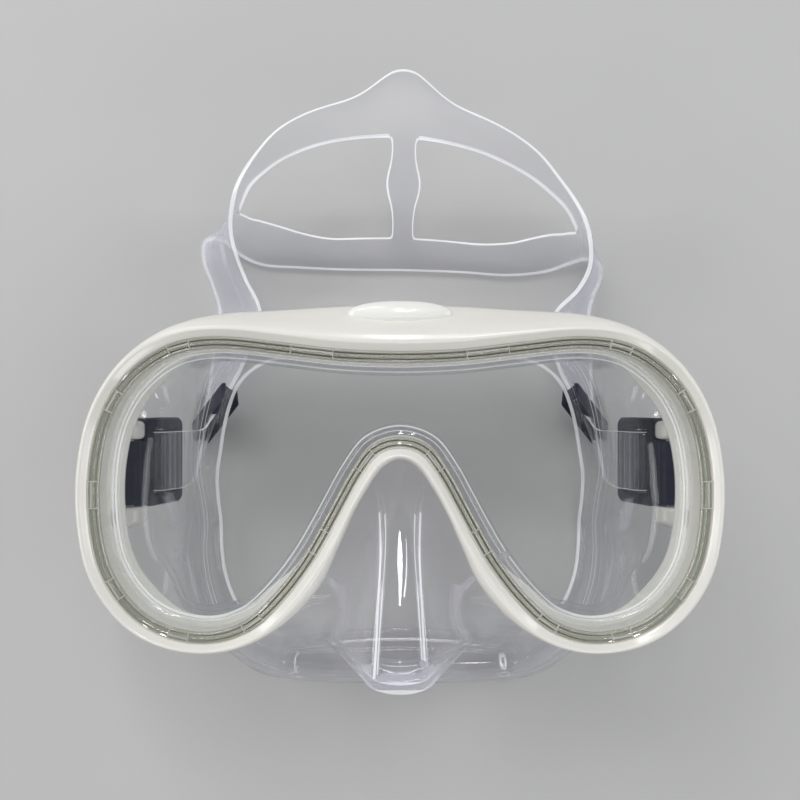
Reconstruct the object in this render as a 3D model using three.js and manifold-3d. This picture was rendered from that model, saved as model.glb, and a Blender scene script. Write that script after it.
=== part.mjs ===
// Single-lens diving mask, lying on its skirt with the lens facing up.
// Millimetres. +Z points out through the lens, +Y towards the forehead, +X to the wearer's left.
import * as THREE from 'three';
import { LoftGeometry } from 'three/addons/geometries/LoftGeometry.js';
import { RoundedBoxGeometry } from 'three/addons/geometries/RoundedBoxGeometry.js';
import { mergeVertices } from 'three/addons/utils/BufferGeometryUtils.js';
import Module from 'manifold-3d';

const wasm = await Module();
wasm.setup();

// ---- driving dimensions ----
const FRONT_Z = 61;            // foremost face of the frame above the table
const FRAME_BACK_Z = 46;       // rear edge of the frame
const LEDGE_Z = 52.4;          // ledge that carries skirt lip, lens and ring
const LEDGE_WIDTH = 3.1;
const BROW_DROP = 7;           // how far the forehead side of the frame slopes back
const LENS_Z = 55;
const LENS_THICK = 3;
const RING_Z = 58.3;
const RING_THICK = 1.8;
const GAP = 0.3;
const SKIRT_THICK = 1.8;
const SKIRT_LIFT = 19;         // the forehead half of the face seal rides over the strap
const STRAP_THICK = 1.8;
const HINGE = { x: 74.5, y: -20, z: 44 };
const HINGE_PIN_R = 1.25;
const HINGE_BORE_R = 1.4;
const LUG_OFFSET = 12;
const LUG_THICK = 5.6;
const BARREL_R = 3.3;
const BARREL_LENGTH = 17.4;    // fits between the two lugs of a pair
const PLATE_HALF = 12.4;
const PLATE_THICK = 5;
const BORE_CUT = 30;           // longer than any piece that a bore goes through
const BUCKLE_TILT = 18;        // degrees the buckle hangs in towards the skirt
const ROLLER_DROP = 14;        // hinge axis to roller axis
const PLATE_LIFT = 2.5;        // strap plate's middle above the barrel's, towards the brow
const ROLLER_R = 2.6;
const ROLLER_PIN_R = 0.8;
const STRAP_WIDTH = 17;
const WINDOW_HALF = 9.2;
const KEEPER_SLACK = 2;        // free thickness inside the keeper's loop
const KEEPER_AT = 0.2;         // along the strap, between its second and third guide rows
const KEEPER_SIZE = [20.4, 8.4, 5.6];   // across the strap, along it, through it
const LEVER_DROP = 5.3;
const LEVER_WIDTH = 8.6;
const RING_SLOTS = 18;         // snap slots round the retaining ring
const STATIONS = 84;
const BOX_CENTRE = [0, 2.454];   // plan centre of the finished object, moved to the origin

// ---- outlines, right half from the brow round to the nose bridge ----
const FRAME_OUTER = [
  [0, 25.6], [16, 25.2], [31, 24.2], [46.5, 23], [57, 20.7], [65, 16.9], [72.6, 10.8], [78, 3.7],
  [81.8, -4.5], [83.9, -13.5], [84.8, -23.5], [84.2, -34], [82.2, -44], [78.3, -52], [72.4, -58.9],
  [65.5, -63.4], [57.8, -65.8], [49.5, -66.3], [41.5, -64.8], [34, -61.3], [27, -56], [20.3, -47.8], [15.8, -38],
  [12, -29.5], [8.2, -22.8], [4.4, -17.6], [0, -15.6],
];
const LIP_INNER = [
  [0, 12.7], [16, 13.3], [31, 15], [45, 16.5], [55.3, 15.9], [63, 13.2], [70, 8.2], [75, 2.1], [78.6, -5.5],
  [80.6, -14], [81.4, -23.5], [80.9, -33.5], [79, -42.8], [75.5, -50], [70.3, -56.3], [64.2, -60.5],
  [57.2, -62.9], [49.7, -63.5], [42.8, -62], [36.2, -58.3], [29, -51], [23, -43], [18.3, -35],
  [14.2, -27.4], [10.2, -20.2], [5.8, -14.4], [0, -12.6],
];
const SEAL_FOLD = [
  [0, 20], [16, 20.5], [30, 20], [42, 17.5], [50, 13], [54.5, 7], [57, 0], [58.6, -7], [59.4, -14],
  [59.8, -21], [60.2, -29], [61.2, -38], [61.6, -47], [60.6, -56], [58, -65], [54.5, -73],
  [50, -79], [44.5, -83], [39, -85], [33.5, -86], [28, -86.5], [23, -86.8], [18, -87],
  [13, -87], [8.5, -87], [4.2, -86.8], [0, -86.5],
];
const SEAL_EDGE = [
  [0, 13.5], [15, 13.8], [28, 13], [38, 11.5], [44, 8.5], [48, 4], [50.4, -2], [52, -8.5], [53, -15],
  [54, -22], [55.2, -29.5], [56.2, -38], [56, -46], [55, -54], [52.5, -61.5], [49, -67.5],
  [45, -71.6], [40.5, -74], [35.5, -75], [30, -74.5], [25, -73.6], [20, -73], [16, -72.6],
  [12, -72.4], [8, -72.2], [4, -72], [0, -72],
];
// Nose pocket, one row of points per outline station from the lens corner to the bridge.
const NOSE_ROWS = [
  [[31.5, -62.5, 40], [31, -64.5, 34], [31.2, -67, 28], [31.5, -69.5, 23], [31.8, -72, 18], [32, -75, 13]],
  [[22.5, -57.5, 41.5], [21.5, -61, 38.5], [22.3, -64.5, 35], [23.6, -68, 30],
    [25, -71, 24], [26, -74.5, 16]],
  [[16, -50.5, 44.5], [14.6, -56, 46.5], [15.4, -61.5, 47.5], [18, -65.5, 46],
    [19.4, -68.2, 38], [20.5, -73, 20]],
  [[12.2, -41.5, 46], [10, -49, 51.5], [10.6, -59, 55], [12.6, -68.5, 55],
    [13.8, -71.5, 45], [14.6, -74.5, 22]],
  [[9, -33, 46.3], [7, -43, 54.5], [8, -57, 59.5], [9.2, -70.5, 60.5], [9.8, -73.8, 50], [10.2, -75.5, 24]],
  [[5.9, -26.5, 46.5], [4.7, -38, 55.5], [5.6, -55, 61.2], [6.6, -72, 62.4], [6.9, -75.6, 53], [7, -76, 25]],
  [[3.4, -21.5, 46.5], [2.6, -36, 55.8], [3.1, -55, 61.8], [3.5, -72.4, 63.2],
    [3.6, -76.4, 54], [3.6, -76.4, 25]],
  [[0, -19.5, 46.5], [0, -35.5, 55.8], [0, -55, 62], [0, -72.6, 63.4], [0, -76.6, 54.4], [0, -76.5, 25]],
];
const NOSE_FIRST = FRAME_OUTER.length - NOSE_ROWS.length;
// Head strap: lower edge on the table and raised upper edge, from the buckle to the pad's middle.
const STRAP_WEARER_RIGHT = [
  { low: [-62.6, -25.5, 15.4], high: [-60.2, -9.5, 15] },
  { low: [-61.8, -13, 6.5], high: [-54, 0, 13] },
  { low: [-61, 0, 2.4], high: [-49, 9, 13] },
  { low: [-59.5, 14, 1.2], high: [-45, 18, 13.5] },
  { low: [-57.6, 28.3, 1], high: [-42.6, 27, 14] },
  { low: [-59.6, 36, 1], high: [-47, 37, 15] },
  { low: [-62.5, 44, 1], high: [-49.4, 44, 17.5] },
  { low: [-62, 50.5, 1], high: [-50.5, 50.5, 20.5] },
  { low: [-56.5, 50.5, 1], high: [-49.6, 57, 24] },
  { low: [-50, 45.3, 1], high: [-47.2, 63.3, 28] },
  { low: [-43.6, 42.6, 1], high: [-41.5, 71.2, 31] },
  { low: [-32, 41.8, 1], high: [-34, 78, 34] },
  { low: [-18, 41.2, 1], high: [-20, 83.4, 36.8] },
];
const STRAP_WEARER_LEFT = [
  { low: [62.6, -25.5, 15.4], high: [60.2, -9.5, 15] },
  { low: [61.8, -13, 6.5], high: [54, 0, 13] },
  { low: [61, 0, 2.4], high: [49, 9, 13] },
  { low: [60.8, 14, 1.2], high: [46.6, 18, 14] },
  { low: [60.2, 27, 1], high: [47, 26, 15] },
  { low: [61.5, 33, 1], high: [54, 33.5, 16] },
  { low: [63.5, 38, 1], high: [57, 39.5, 18] },
  { low: [63.5, 43, 1], high: [57, 45, 20.5] },
  { low: [59, 44.6, 1], high: [55.8, 50, 23.5] },
  { low: [53.5, 43, 1], high: [53.2, 55.6, 26] },
  { low: [46.5, 40.6, 1], high: [46.2, 64.2, 30] },
  { low: [35, 39.4, 1], high: [38, 72.4, 33.3] },
  { low: [19, 40.4, 1], high: [22, 80.6, 36.6] },
];
const STRAP_MIDDLE = { low: [0, 41, 1], high: [0, 85.5, 38.2] };

// ---- materials ----
const plastic = (color, roughness = 0.35) =>
  new THREE.MeshStandardMaterial({ color, roughness, metalness: 0 });
const clear = (color, opacity, roughness = 0.2) =>
  new THREE.MeshStandardMaterial({ color, roughness, metalness: 0, transparent: true, opacity });
const steel = () => new THREE.MeshStandardMaterial({ color: 0xb8bcc0, roughness: 0.3, metalness: 1 });
const CREAM = 0xebe7dc, NAVY = 0x14182c, NAVY_SOFT = 0x1c2238, SILICONE = 0xdde0f0;

// ---- small helpers ----
const v3 = (p) => new THREE.Vector3(p[0], p[1], p[2]);
const lerp = (a, b, t) => a + (b - a) * t;
const smoothstep = (lo, hi, x) => {
  const t = Math.min(1, Math.max(0, (x - lo) / (hi - lo)));
  return t * t * (3 - 2 * t);
};

function toManifold(geometry) {
  const g = new THREE.BufferGeometry().copy(geometry);
  g.deleteAttribute('normal');
  g.deleteAttribute('uv');
  const m = mergeVertices(g, 1e-4);
  return new wasm.Manifold(new wasm.Mesh({
    numProp: 3,
    vertProperties: new Float32Array(m.attributes.position.array),
    triVerts: new Uint32Array(m.index.array),
  }));
}

function toGeometry(solid) {
  const mesh = solid.getMesh();
  const g = new THREE.BufferGeometry();
  g.setAttribute('position', new THREE.BufferAttribute(new Float32Array(mesh.vertProperties), 3));
  g.setIndex([...mesh.triVerts]);
  g.computeVertexNormals();
  return g;
}

// A closed ring through the right-half points and their mirror images.
function ringPoints(rows, count = STATIONS) {
  const mirrored = rows.slice(1, -1).reverse().map((p) => [-p[0], ...p.slice(1)]);
  const ring = rows.concat(mirrored).map((p) => new THREE.Vector3(p[0], p[1], p[2] ?? 0));
  const n = ring.length;
  return Array.from({ length: count }, (_, k) => {
    const s = (k / count) * n;
    const i = Math.floor(s);
    const at = (j) => ring[(i + j + n) % n];
    const part = new THREE.CatmullRomCurve3([at(-1), at(0), at(1), at(2)], false, 'catmullrom', 0.5);
    return part.getPoint((1 + s - i) / 3);
  });
}

// Moves each point of a flat ring sideways; negative distances go towards the inside.
function offsetRing(ring, distance) {
  const n = ring.length;
  return ring.map((p, i) => {
    const along = ring[(i + 1) % n].clone().sub(ring[(i - 1 + n) % n]).setZ(0).normalize();
    return new THREE.Vector3(p.x - along.y * distance, p.y + along.x * distance, p.z);
  });
}

// A closed solid from a grid of points: two skins and the walls round every open edge.
function thickSheet(grid, thickness, { closed = false, keep = () => true, floor = -Infinity } = {}) {
  const rows = grid.length, cols = grid[0].length;
  const wrap = (i) => (closed ? (i + rows) % rows : Math.min(rows - 1, Math.max(0, i)));
  const positions = [];
  for (const side of [1, -1]) {
    for (let i = 0; i < rows; i++) {
      for (let j = 0; j < cols; j++) {
        const along = grid[wrap(i + 1)][j].clone().sub(grid[wrap(i - 1)][j]);
        const across = grid[i][Math.min(cols - 1, j + 1)].clone().sub(grid[i][Math.max(0, j - 1)]);
        const p = grid[i][j].clone().addScaledVector(along.cross(across).normalize(), side * thickness / 2);
        positions.push(p.x, p.y, Math.max(p.z, floor));
      }
    }
  }
  const cells = closed ? rows : rows - 1;
  const kept = (i, j) => j >= 0 && j < cols - 1 && (closed || (i >= 0 && i < cells)) && keep(wrap(i), j);
  const top = (i, j) => wrap(i) * cols + j;
  const bottom = (i, j) => rows * cols + top(i, j);
  const index = [];
  const quad = (a, b, c, d) => index.push(a, b, c, a, c, d);
  for (let i = 0; i < cells; i++) {
    for (let j = 0; j < cols - 1; j++) {
      if (!kept(i, j)) continue;
      quad(top(i, j), top(i + 1, j), top(i + 1, j + 1), top(i, j + 1));
      quad(bottom(i, j), bottom(i, j + 1), bottom(i + 1, j + 1), bottom(i + 1, j));
      if (!kept(i, j - 1)) quad(top(i, j), bottom(i, j), bottom(i + 1, j), top(i + 1, j));
      if (!kept(i, j + 1)) quad(top(i, j + 1), top(i + 1, j + 1), bottom(i + 1, j + 1), bottom(i, j + 1));
      if (!kept(i - 1, j)) quad(top(i, j), top(i, j + 1), bottom(i, j + 1), bottom(i, j));
      if (!kept(i + 1, j)) quad(top(i + 1, j), bottom(i + 1, j), bottom(i + 1, j + 1), top(i + 1, j + 1));
    }
  }
  const g = new THREE.BufferGeometry();
  g.setAttribute('position', new THREE.Float32BufferAttribute(positions, 3));
  g.setIndex(index);
  const clean = mergeVertices(g, 1e-4);
  clean.computeVertexNormals();
  return clean;
}

function cylinderY(radius, length, segments = 20) {
  return new THREE.CylinderGeometry(radius, radius, length, segments);
}

function roundedPlate(halfY, zTop, zBottom, corner) {
  const s = new THREE.Shape();
  s.moveTo(-halfY + corner, zBottom);
  s.lineTo(halfY - corner, zBottom);
  s.absarc(halfY - corner, zBottom + corner, corner, -Math.PI / 2, 0);
  s.lineTo(halfY, zTop - corner);
  s.absarc(halfY - corner, zTop - corner, corner, 0, Math.PI / 2);
  s.lineTo(-halfY + corner, zTop);
  s.absarc(-halfY + corner, zTop - corner, corner, Math.PI / 2, Math.PI);
  s.lineTo(-halfY, zBottom + corner);
  s.absarc(-halfY + corner, zBottom + corner, corner, Math.PI, Math.PI * 1.5);
  return s;
}

// Extrudes a shape drawn in the Y-Z plane through a thickness centred on X = 0.
function extrudeX(shape, thickness, bevel = 0.5) {
  const g = new THREE.ExtrudeGeometry(shape, {
    depth: thickness - 2 * bevel, bevelEnabled: true, bevelThickness: bevel, bevelSize: bevel,
    bevelOffset: -bevel, bevelSegments: 1, curveSegments: 4,
  });
  g.translate(0, 0, -(thickness - 2 * bevel) / 2);
  g.applyMatrix4(new THREE.Matrix4().set(0, 0, 1, 0, 1, 0, 0, 0, 0, 1, 0, 0, 0, 0, 0, 1));
  return g;
}

// Extrudes a shape drawn in the X-Z plane through a width centred on Y = 0.
function extrudeY(shape, width) {
  const g = new THREE.ExtrudeGeometry(shape, { depth: width, bevelEnabled: false, curveSegments: 6 });
  g.translate(0, 0, -width / 2);
  g.rotateX(Math.PI / 2);
  return g;
}

// ---- rings shared by frame, lens, retaining ring and skirt ----
const outer = ringPoints(FRAME_OUTER);
const lip = ringPoints(LIP_INNER);
const ledge = offsetRing(lip, -LEDGE_WIDTH);
const atHeight = (p, z) => new THREE.Vector3(p.x, p.y, z);
const between = (a, b, t, z) => new THREE.Vector3(lerp(a.x, b.x, t), lerp(a.y, b.y, t), z);

function loopLoft(sections) {
  const turned = sections.map((section) => [...section].reverse());
  return new LoftGeometry([...turned, turned[0]], { closed: true });
}

// ---- the hard frame and its hinge lugs ----
function lugSolid(side, offset) {
  const outline = new THREE.Shape([
    [83, 46.6], [79.5, 49.6], [75, 48.6], [71.4, 46.6], [70.4, 43.6], [71.6, 40.8], [75, 39.6], [79.5, 41.4],
    [83, 45.6],
  ].map(([x, z]) => new THREE.Vector2(side * x, z)));
  const lug = extrudeY(outline, LUG_THICK);
  lug.translate(0, HINGE.y + offset, 0);
  const bore = cylinderY(HINGE_BORE_R, LUG_THICK + 2, 16);
  bore.translate(side * HINGE.x, HINGE.y + offset, HINGE.z);
  return toManifold(lug).subtract(toManifold(bore));
}

function frontFrame() {
  const sections = outer.map((o, i) => {
    const l = lip[i], r = ledge[i];
    const brow = smoothstep(4, 16, o.y) * BROW_DROP * smoothstep(70, 20, Math.abs(o.x));
    return [
      atHeight(r, FRAME_BACK_Z), atHeight(r, LEDGE_Z), atHeight(l, LEDGE_Z), atHeight(l, FRONT_Z - 0.9),
      between(l, o, 0.2, FRONT_Z), between(l, o, 0.45, FRONT_Z - 0.1 - 0.1 * brow),
      between(l, o, 0.78, FRONT_Z - 0.9 - 0.55 * brow), between(l, o, 0.96, FRONT_Z - 2.8 - 0.9 * brow),
      between(l, o, 1, FRONT_Z - 5.2 - brow * 0.9), between(l, o, 0.99, FRAME_BACK_Z + 1.6),
      between(l, o, 0.86, FRAME_BACK_Z),
    ];
  });
  let solid = toManifold(loopLoft(sections));
  for (const side of [1, -1]) {
    for (const offset of [LUG_OFFSET, -LUG_OFFSET]) solid = solid.add(lugSolid(side, offset));
  }
  return toGeometry(solid.subtract(toManifold(badgeShape(GAP))));
}

function badgeShape(grow) {
  const g = new THREE.SphereGeometry(1, 28, 14);
  g.rotateX(Math.PI / 2);
  g.scale(14 + grow, 3.4 + grow, 3.6 + grow);
  g.translate(0, 22.9, 54.4);
  return g;
}

// ---- lens and the clear ring that holds it ----
function lensGeometry() {
  const rim = offsetRing(lip, -GAP - 0.2).map((p) => new THREE.Vector2(p.x, p.y));
  const pane = new THREE.Shape(rim.reverse());
  const g = new THREE.ExtrudeGeometry(pane, { depth: LENS_THICK, bevelEnabled: false });
  g.translate(0, 0, LENS_Z);
  return g;
}

function retainingRing() {
  const out = offsetRing(lip, -GAP), inn = offsetRing(lip, -LEDGE_WIDTH);
  const sections = out.map((o, i) => [
    atHeight(inn[i], RING_Z), atHeight(inn[i], RING_Z + RING_THICK * 0.6),
    between(inn[i], o, 0.3, RING_Z + RING_THICK), atHeight(o, RING_Z + RING_THICK), atHeight(o, RING_Z),
  ]);
  let solid = toManifold(loopLoft(sections));
  for (let k = 0; k < RING_SLOTS; k++) {
    const at = out[Math.round((k + 0.5) * STATIONS / RING_SLOTS) % STATIONS];
    const slot = new THREE.BoxGeometry(0.8, 0.8, 1.2);
    slot.translate(at.x, at.y, RING_Z + RING_THICK);
    solid = solid.subtract(toManifold(slot));
  }
  return toGeometry(solid);
}

// ---- the silicone skirt with its nose pocket and face seal ----
function skirtGuides() {
  const count = FRAME_OUTER.length;
  const flat = (rows) => rows.map((p) => new THREE.Vector3(p[0], p[1], 0));
  const lipRow = flat(LIP_INNER), outRow = flat(FRAME_OUTER);
  const foldRow = flat(SEAL_FOLD), edgeRow = flat(SEAL_EDGE);
  const inward = (i, distance, z) => {
    const before = i > 0 ? lipRow[i - 1] : lipRow[1].clone().setX(-lipRow[1].x);
    const after = i < count - 1 ? lipRow[i + 1] : lipRow[count - 2].clone().setX(-lipRow[count - 2].x);
    const along = after.clone().sub(before).normalize();
    return new THREE.Vector3(lipRow[i].x + along.y * distance, lipRow[i].y - along.x * distance, z);
  };
  return lipRow.map((_, i) => {
    const fold = foldRow[i], edge = edgeRow[i];
    const lift = SKIRT_LIFT * smoothstep(-40, -20, fold.y);
    const nose = i >= NOSE_FIRST;
    const side = smoothstep(58, 72, Math.abs(lipRow[i].x));
    const path = [inward(i, 0.7, 53.7), inward(i, 4.6, 53.7), inward(i, 5.9, nose ? 49 : 52.2)];
    if (nose) {
      path.push(inward(i, 5.4, 45.4), between(inward(i, 3.6, 0), outRow[i], 0.3, 43.5));
      path.push(between(lipRow[i], outRow[i], 1.0, 43.6));
      NOSE_ROWS[i - NOSE_FIRST].forEach((p) => path.push(v3(p)));
    } else {
      const shoulder = inward(i, lerp(6.4, 12.5, side), lerp(44, 48, side));
      const waist = between(shoulder, fold, lerp(0.55, 0.94, side), lerp(30, 36, side));
      path.push(shoulder, between(shoulder, waist, 0.6, lerp(37, 41, side)), waist);
      path.push(between(waist, fold, 0.5, lerp(waist.z, 10 + lift, 0.45)));
    }
    path.push(
      between(fold, edge, -0.02, 7.5 + lift), between(fold, edge, 0.05, 2.6 + lift),
      between(fold, edge, 0.25, 0.6 + lift), between(fold, edge, 0.6, 0.6 + lift),
      between(fold, edge, 1, 3.4 + lift),
    );
    return path;
  });
}

function skirtGeometry() {
  const steps = 17;
  const rows = skirtGuides().map((path) =>
    new THREE.CatmullRomCurve3(path, false, 'centripetal').getPoints(steps));
  const columns = Array.from({ length: steps + 1 }, (_, j) =>
    ringPoints(rows.map((row) => [row[j].x, row[j].y, row[j].z])));
  const grid = columns[0].map((_, i) => columns.map((column) => column[i]));
  return thickSheet(grid, SKIRT_THICK, { closed: true, floor: 0 });
}

// ---- head strap ----
function strapRows() {
  return [...STRAP_WEARER_RIGHT, STRAP_MIDDLE, ...[...STRAP_WEARER_LEFT].reverse()];
}

function strapGrid(columnsPerSpan, rowsAcross) {
  const rows = strapRows();
  const low = new THREE.CatmullRomCurve3(rows.map((r) => v3(r.low)), false, 'centripetal');
  const high = new THREE.CatmullRomCurve3(rows.map((r) => v3(r.high)), false, 'centripetal');
  const spans = rows.length - 1;
  const grid = [];
  for (let k = 0; k <= spans * columnsPerSpan; k++) {
    const t = k / (spans * columnsPerSpan);
    const a = low.getPoint(t), b = high.getPoint(t);
    grid.push(rowsAcross(t * spans, spans).map((w) => a.clone().lerp(b, w)));
  }
  return grid;
}

function strapGeometry() {
  const perSpan = 3;
  const windowFrom = 9, middle = STRAP_WEARER_RIGHT.length;
  const across = (s, spans) => {
    const fromMiddle = Math.abs(s - middle), reach = middle - windowFrom;
    const open = smoothstep(reach + 0.6, reach - 0.8, fromMiddle);
    const bandTop = lerp(0.5, 0.21, smoothstep(reach, 1, fromMiddle));
    const peak = 0.16 * Math.exp(-((fromMiddle / 0.75) ** 2));
    const windowMiddle = 0.5 * (bandTop + 0.8);
    return [0, bandTop * 0.5, lerp(0.5, bandTop, open), windowMiddle, lerp(0.8, 0.79, open), 0.9, 1 + peak];
  };
  const grid = strapGrid(perSpan, across);
  const columnMiddle = middle * perSpan;
  const keep = (i, j) => {
    if (j !== 2 && j !== 3) return true;
    const fromMiddle = Math.abs(i + 0.5 - columnMiddle);
    return fromMiddle < 0.75 || fromMiddle > (middle - windowFrom) * perSpan;
  };
  return thickSheet(grid, STRAP_THICK, { keep, floor: 0 });
}

// ---- buckles: built round their own hinge axis, then hung on the lugs ----
function placeOnHinge(geometry, side) {
  geometry.rotateY(THREE.MathUtils.degToRad(BUCKLE_TILT));
  if (side < 0) {
    geometry.scale(-1, 1, 1);
    const index = [...geometry.index.array];
    geometry.setIndex(index.map((_, i) => index[i - (i % 3) + (3 - (i % 3)) % 3]));
  }
  geometry.translate(side * HINGE.x, HINGE.y, HINGE.z);
  geometry.computeVertexNormals();
  return geometry;
}

function indexed(geometry) {
  return toGeometry(toManifold(geometry));
}

function buckleGeometry() {
  const plate = roundedPlate(PLATE_HALF, -4.6, -24.6, 2.6);
  plate.holes.push(roundedPlate(WINDOW_HALF, -8.6, -21, 1.2));
  let solid = toManifold(extrudeX(plate, PLATE_THICK).translate(0, PLATE_LIFT, 0));
  solid = solid.add(toManifold(cylinderY(BARREL_R, BARREL_LENGTH, 20)));
  const neck = new RoundedBoxGeometry(4.8, BARREL_LENGTH, 6.4, 1, 0.5);
  neck.translate(0, 0, -4);
  solid = solid.add(toManifold(neck));
  solid = solid.subtract(toManifold(cylinderY(HINGE_BORE_R, BORE_CUT, 16)));
  const rollerBore = cylinderY(ROLLER_PIN_R + GAP * 0.4, BORE_CUT, 12);
  rollerBore.translate(0, PLATE_LIFT, -ROLLER_DROP);
  solid = solid.subtract(toManifold(rollerBore));
  const leverSeat = new THREE.BoxGeometry(4, LEVER_WIDTH + 0.8, 6.4);
  leverSeat.translate(2.9, 0, -LEVER_DROP);
  return toGeometry(solid.subtract(toManifold(leverSeat)));
}

function rollerGeometry() {
  const teeth = 12, points = [];
  for (let k = 0; k < teeth * 2; k++) {
    const angle = (k / (teeth * 2)) * Math.PI * 2, r = k % 2 ? ROLLER_R - 0.5 : ROLLER_R;
    points.push(new THREE.Vector2(r * Math.cos(angle), -ROLLER_DROP + r * Math.sin(angle)));
  }
  const body = toManifold(extrudeY(new THREE.Shape(points), 2 * WINDOW_HALF - 2 * GAP));
  const bore = cylinderY(ROLLER_PIN_R + GAP * 0.4, BORE_CUT, 12);
  bore.translate(0, 0, -ROLLER_DROP);
  return toGeometry(body.subtract(toManifold(bore))).translate(0, PLATE_LIFT, 0);
}

function rollerPinGeometry() {
  const pin = cylinderY(ROLLER_PIN_R, 2 * PLATE_HALF - 2 * GAP, 12);
  pin.translate(0, PLATE_LIFT, -ROLLER_DROP);
  return indexed(pin);
}

// Release lever: a sprung thumb tab on the outer face, pivoted just below the hinge barrel.
function leverGeometry() {
  const tab = new RoundedBoxGeometry(1.7, LEVER_WIDTH, 5.6, 1, 0.4);
  tab.translate(2.95, 0, -LEVER_DROP);
  return indexed(tab);
}

// Strap end: up the inner side, round the roller and back down to a rounded tail.
function strapEndGeometry() {
  const inner = ROLLER_R + 0.4, rim = inner + STRAP_THICK - 0.1;
  const s = new THREE.Shape();
  s.moveTo(-rim, -26.4);
  s.lineTo(-inner, -26.4);
  s.lineTo(-inner, -ROLLER_DROP);
  s.absarc(0, -ROLLER_DROP, inner, Math.PI, 0, true);
  s.lineTo(inner, -31);
  s.lineTo(rim, -31);
  s.lineTo(rim, -ROLLER_DROP);
  s.absarc(0, -ROLLER_DROP, rim, 0, Math.PI, false);
  s.closePath();
  return indexed(extrudeY(s, STRAP_WIDTH).translate(0, PLATE_LIFT, 0));
}

function hingePinGeometry(side) {
  const pin = cylinderY(HINGE_PIN_R, 2 * LUG_OFFSET + LUG_THICK, 16);
  pin.translate(side * HINGE.x, HINGE.y, HINGE.z);
  return pin;
}

// ---- strap keeper: a flat loop round the strap arm ----
function keeperGeometry(rows) {
  const mid = (a, b) => v3(a).lerp(v3(b), 0.5);
  const start = mid(rows[1].low, rows[1].high), end = mid(rows[2].low, rows[2].high);
  const width = (row) => v3(row.high).sub(v3(row.low));
  const across = width(rows[1]).add(width(rows[2])).normalize();
  const along = end.clone().sub(start);
  along.addScaledVector(across, -along.dot(across)).normalize();
  const normal = across.clone().cross(along);
  const place = new THREE.Matrix4().makeBasis(across, along, normal);
  place.setPosition(start.lerp(end, KEEPER_AT));
  const block = new RoundedBoxGeometry(...KEEPER_SIZE, 2, 1.2);
  block.applyMatrix4(place);
  const passage = thickSheet(strapGrid(4, () => [-0.08, 0.5, 1.08]), STRAP_THICK + KEEPER_SLACK);
  return toGeometry(toManifold(block).subtract(toManifold(passage)));
}

// ---- assembly ----
const group = new THREE.Group();
const assembly = new THREE.Group();
assembly.position.set(-BOX_CENTRE[0], -BOX_CENTRE[1], 0);
group.add(assembly);

function addPart(name, geometry, material) {
  const mesh = new THREE.Mesh(geometry, material);
  mesh.name = name;
  assembly.add(mesh);
}

addPart('front_frame', frontFrame(), plastic(CREAM, 0.25));
addPart('top_badge', badgeShape(0), plastic(CREAM, 0.15));
addPart('lens', lensGeometry(), clear(0xdfeee6, 0.25, 0.02));
addPart('retaining_ring', retainingRing(), clear(0xd4dccb, 0.5));
addPart('skirt', skirtGeometry(), clear(SILICONE, 0.5));
addPart('strap', strapGeometry(), clear(SILICONE, 0.6));
for (const [label, side, rows] of [['left', 1, STRAP_WEARER_LEFT], ['right', -1, STRAP_WEARER_RIGHT]]) {
  addPart(`hinge_pin_${label}`, hingePinGeometry(side), steel());
  addPart(`buckle_${label}`, placeOnHinge(buckleGeometry(), side), plastic(NAVY));
  addPart(`roller_${label}`, placeOnHinge(rollerGeometry(), side), plastic(NAVY_SOFT));
  addPart(`roller_pin_${label}`, placeOnHinge(rollerPinGeometry(), side), steel());
  addPart(`release_lever_${label}`, placeOnHinge(leverGeometry(), side), plastic(NAVY_SOFT));
  addPart(`strap_end_${label}`, placeOnHinge(strapEndGeometry(), side), clear(SILICONE, 0.6));
  addPart(`keeper_${label}`, keeperGeometry(rows), plastic(NAVY));
}

export default group;
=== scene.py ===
"""Looks of the diving mask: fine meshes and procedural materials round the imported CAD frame."""
import math

import bmesh
import bpy
import numpy as np
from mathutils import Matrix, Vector


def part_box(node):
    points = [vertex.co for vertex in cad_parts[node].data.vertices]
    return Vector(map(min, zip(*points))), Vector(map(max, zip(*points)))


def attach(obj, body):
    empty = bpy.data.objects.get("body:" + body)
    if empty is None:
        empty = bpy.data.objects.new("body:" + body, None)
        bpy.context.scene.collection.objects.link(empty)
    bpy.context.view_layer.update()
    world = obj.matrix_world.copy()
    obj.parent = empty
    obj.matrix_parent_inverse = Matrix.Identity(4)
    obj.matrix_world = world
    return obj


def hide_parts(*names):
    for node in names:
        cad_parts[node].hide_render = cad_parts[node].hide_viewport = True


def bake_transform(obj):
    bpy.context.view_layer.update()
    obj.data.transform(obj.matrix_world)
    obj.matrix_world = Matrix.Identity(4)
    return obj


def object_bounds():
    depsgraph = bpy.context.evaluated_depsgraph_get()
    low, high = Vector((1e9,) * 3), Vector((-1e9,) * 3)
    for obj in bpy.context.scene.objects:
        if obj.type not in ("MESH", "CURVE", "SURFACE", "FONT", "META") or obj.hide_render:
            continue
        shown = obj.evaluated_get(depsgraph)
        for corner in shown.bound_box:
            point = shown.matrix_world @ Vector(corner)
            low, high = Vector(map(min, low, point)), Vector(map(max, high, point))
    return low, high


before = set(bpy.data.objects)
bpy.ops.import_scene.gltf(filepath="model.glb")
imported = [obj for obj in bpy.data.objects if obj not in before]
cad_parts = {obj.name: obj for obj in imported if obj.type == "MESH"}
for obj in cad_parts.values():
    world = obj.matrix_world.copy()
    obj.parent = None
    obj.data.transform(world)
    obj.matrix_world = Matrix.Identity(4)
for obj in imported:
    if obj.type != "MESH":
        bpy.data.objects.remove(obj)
cad_low, cad_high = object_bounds()

MM = 0.001
SIDES = (("left", 1), ("right", -1))

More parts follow.
